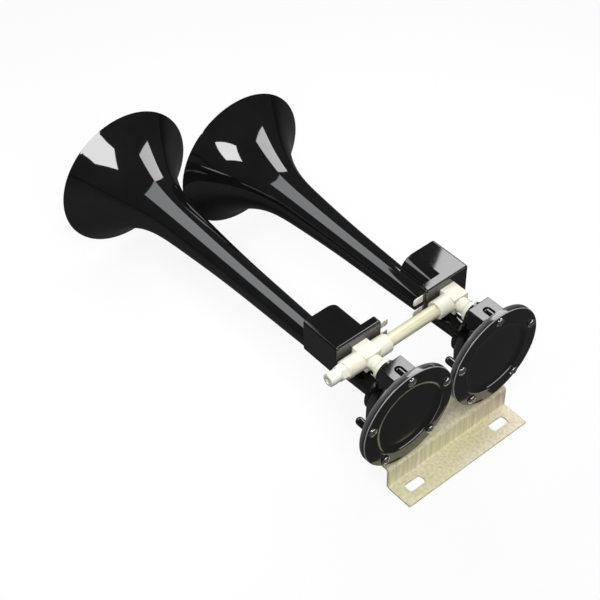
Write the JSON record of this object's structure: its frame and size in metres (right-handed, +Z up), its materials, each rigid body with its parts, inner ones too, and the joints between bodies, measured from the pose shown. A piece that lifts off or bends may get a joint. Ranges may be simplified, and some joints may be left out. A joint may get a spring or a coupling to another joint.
{
  "type": "car air horn",
  "caption": "Twin trumpet air horn on a folded bracket, each trumpet with a diaphragm driver and a solenoid air valve joined by one air tube.",
  "frame": {"origin": "middle of the two bracket slots, on the underside of the bracket's lower flange", "axes": "+Z up out of the mounting surface, +Y towards the bells along the trumpets, +X from the long low horn to the short high horn"},
  "size_m": [0.2018, 0.3551, 0.1249],
  "materials": {
    "black_plastic": "gloss",
    "cream_plastic": "satin",
    "bracket": "satin yellow passivated zinc",
    "screw_chrome": "polished",
    "black_rubber": "matte",
    "spring_steel": "satin",
    "zinc_steel": "satin",
    "core_steel": "satin",
    "bobbin_plastic": "matte",
    "copper_wire": "satin",
    "terminal_metal": "satin"
  },
  "bodies": {
    "base": {"bracket": "bracket", "connecting_tube": "cream_plastic", "high_bobbin": "bobbin_plastic", "high_coil_case": "black_plastic", "high_coil_nut": "zinc_steel", "high_cover_screws": "screw_chrome", "high_diaphragm": "spring_steel", "high_diaphragm_gasket": "black_rubber", "high_driver_cover": "black_plastic", "high_fixed_core": "core_steel", "high_foot_bolt": "zinc_steel", "high_foot_washer": "zinc_steel", "high_guide_tube": "core_steel", "high_housing": "black_plastic", "high_outlet_ring": "black_rubber", "high_return_spring": "spring_steel", "high_terminals": "terminal_metal", "high_throat_gasket": "black_rubber", "high_trumpet": "black_plastic", "high_tube_ring": "black_rubber", "high_valve_body": "cream_plastic", "high_winding": "copper_wire", "high_yoke": "zinc_steel", "inlet_fitting": "cream_plastic", "low_bobbin": "bobbin_plastic", "low_coil_case": "black_plastic", "low_coil_nut": "zinc_steel", "low_cover_screws": "screw_chrome", "low_diaphragm": "spring_steel", "low_diaphragm_gasket": "black_rubber", "low_driver_cover": "black_plastic", "low_fixed_core": "core_steel", "low_foot_bolt": "zinc_steel", "low_foot_washer": "zinc_steel", "low_guide_tube": "core_steel", "low_housing": "black_plastic", "low_outlet_ring": "black_rubber", "low_return_spring": "spring_steel", "low_terminals": "terminal_metal", "low_throat_gasket": "black_rubber", "low_trumpet": "black_plastic", "low_tube_ring": "black_rubber", "low_valve_body": "cream_plastic", "low_winding": "copper_wire", "low_yoke": "zinc_steel"},
    "low_armature": {"low_plunger": "core_steel", "low_plunger_seal": "black_rubber"},
    "high_armature": {"high_plunger": "core_steel", "high_plunger_seal": "black_rubber"}
  },
  "joints": [
    {"name": "low_plunger_slide", "type": "slide", "parent": "base", "child": "low_armature", "axis": [0, 1, 0], "range_m": [0, 0.002], "stiffness_N_per_m": 400, "springref_m": -0.002, "deforming": ["low_return_spring"]},
    {"name": "high_plunger_slide", "type": "slide", "parent": "base", "child": "high_armature", "axis": [0, 1, 0], "range_m": [0, 0.002], "stiffness_N_per_m": 400, "springref_m": -0.002, "deforming": ["high_return_spring"]}
  ]
}
